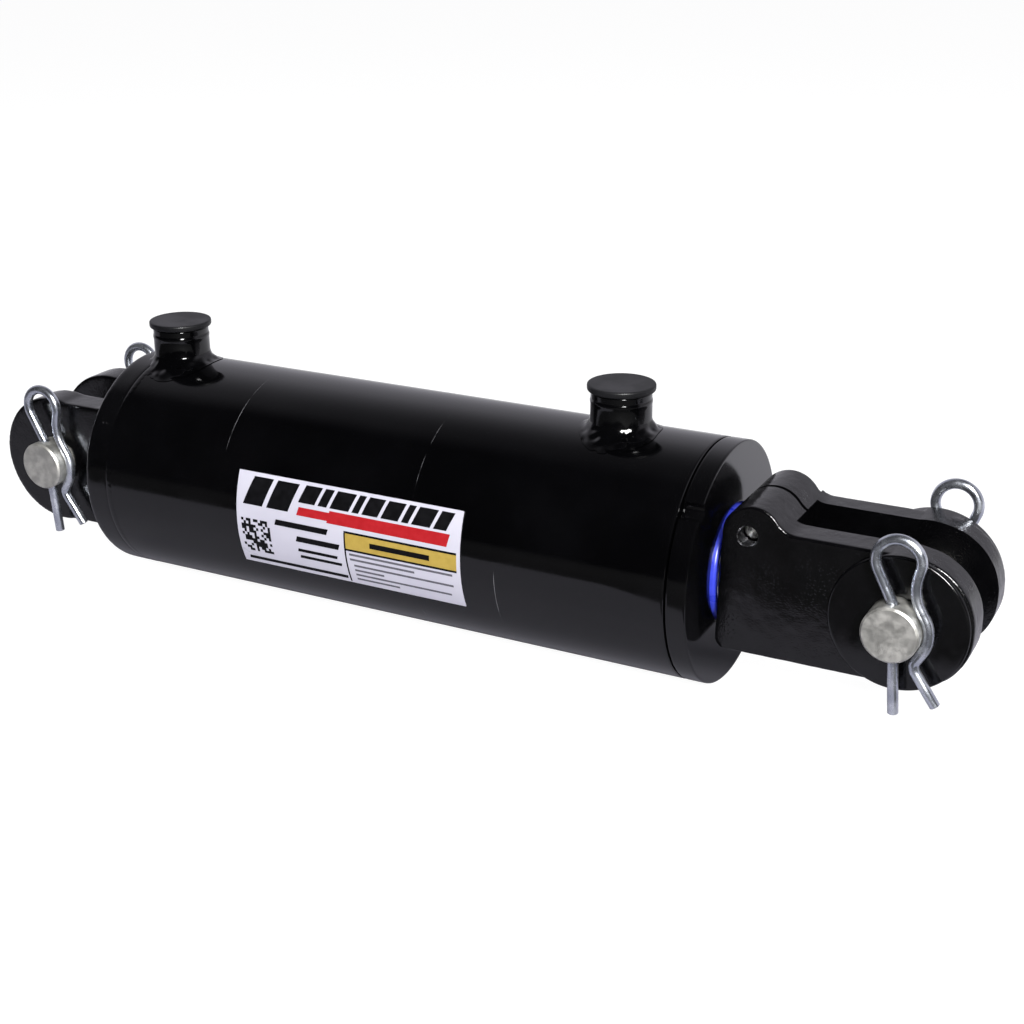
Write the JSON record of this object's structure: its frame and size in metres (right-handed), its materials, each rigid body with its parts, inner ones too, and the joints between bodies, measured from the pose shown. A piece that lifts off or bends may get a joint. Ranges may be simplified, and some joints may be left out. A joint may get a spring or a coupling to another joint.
{
  "type": "hydraulic cylinder",
  "caption": "Welded hydraulic cylinder with a clevis at each end, clevis pins held by hairpin clips, and plugged oil ports along one side.",
  "frame": {"origin": "centre of the base clevis pin", "axes": "+X from the base clevis pin to the rod clevis pin, along the rod; +Y along the pins, away from the side with the label; +Z out through the oil ports"},
  "size_m": [0.5299, 0.1158, 0.1364],
  "materials": {
    "barrel_paint": "gloss black enamel over smooth steel tube",
    "cast_paint": "gloss black enamel over a slightly pitted casting",
    "gland_paint": "black enamel over turned iron, a little duller than the barrel",
    "nitrile": "matt black rubber",
    "seal_plastic": "filled PTFE, matt",
    "blue_seal": "blue polyurethane, satin",
    "wear_ring": "natural glass-filled nylon",
    "label_film": "printed white vinyl film with a clear edge",
    "rod_chrome": "ground and polished hard chrome",
    "piston_iron": "turned ductile iron",
    "nut_steel": "oiled steel",
    "bolt_zinc": "zinc plated steel",
    "pin_zinc": "mottled yellowish-grey zinc plate",
    "clip_zinc": "bright bluish zinc plate on spring wire",
    "plug_plastic": "matt charcoal plastic"
  },
  "bodies": {
    "cylinder": {"barrel_tube": "barrel_paint", "base_clevis": "cast_paint", "gland": "gland_paint", "gland_o_ring": "nitrile", "gland_backup_ring": "seal_plastic", "rod_seal": "blue_seal", "rod_wear_ring": "wear_ring", "rod_wiper": "blue_seal", "base_port_boss": "barrel_paint", "rod_port_boss": "barrel_paint", "info_label": "label_film"},
    "piston_rings": {"piston_seal": "seal_plastic", "piston_seal_energizer": "nitrile", "piston_wear_ring_front": "wear_ring", "piston_wear_ring_rear": "wear_ring"},
    "rod": {"piston_rod": "rod_chrome", "piston": "piston_iron", "piston_o_ring": "nitrile", "piston_nut": "nut_steel", "rod_clevis": "cast_paint", "clamp_bolt": "bolt_zinc"},
    "base_pin_set": {"base_clevis_pin": "pin_zinc", "base_hairpin_near": "clip_zinc", "base_hairpin_far": "clip_zinc"},
    "rod_pin_set": {"rod_clevis_pin": "pin_zinc", "rod_hairpin_near": "clip_zinc", "rod_hairpin_far": "clip_zinc"},
    "base_plug": {"base_port_plug": "plug_plastic"},
    "rod_plug": {"rod_port_plug": "plug_plastic"}
  },
  "joints": [
    {"name": "rod_slide", "type": "slide", "parent": "cylinder", "child": "piston_rings", "axis": [1, 0, 0], "range_m": [0, 0.2032]},
    {"name": "rod_swivel", "type": "hinge", "parent": "piston_rings", "child": "rod", "pos_m": [0.09, 0, 0], "axis": [1, 0, 0], "continuous": true},
    {"name": "base_pin_turn", "type": "hinge", "parent": "cylinder", "child": "base_pin_set", "pos_m": [0, 0, 0], "axis": [0, 1, 0], "range_deg": [-241, 43]},
    {"name": "rod_pin_turn", "type": "hinge", "parent": "rod", "child": "rod_pin_set", "pos_m": [0.46355, 0, 0], "axis": [0, 1, 0], "continuous": true},
    {"name": "base_plug_pull", "type": "slide", "parent": "cylinder", "child": "base_plug", "axis": [0, 0, 1], "range_m": [0, 0.016]},
    {"name": "rod_plug_pull", "type": "slide", "parent": "cylinder", "child": "rod_plug", "axis": [0, 0, 1], "range_m": [0, 0.016]}
  ]
}
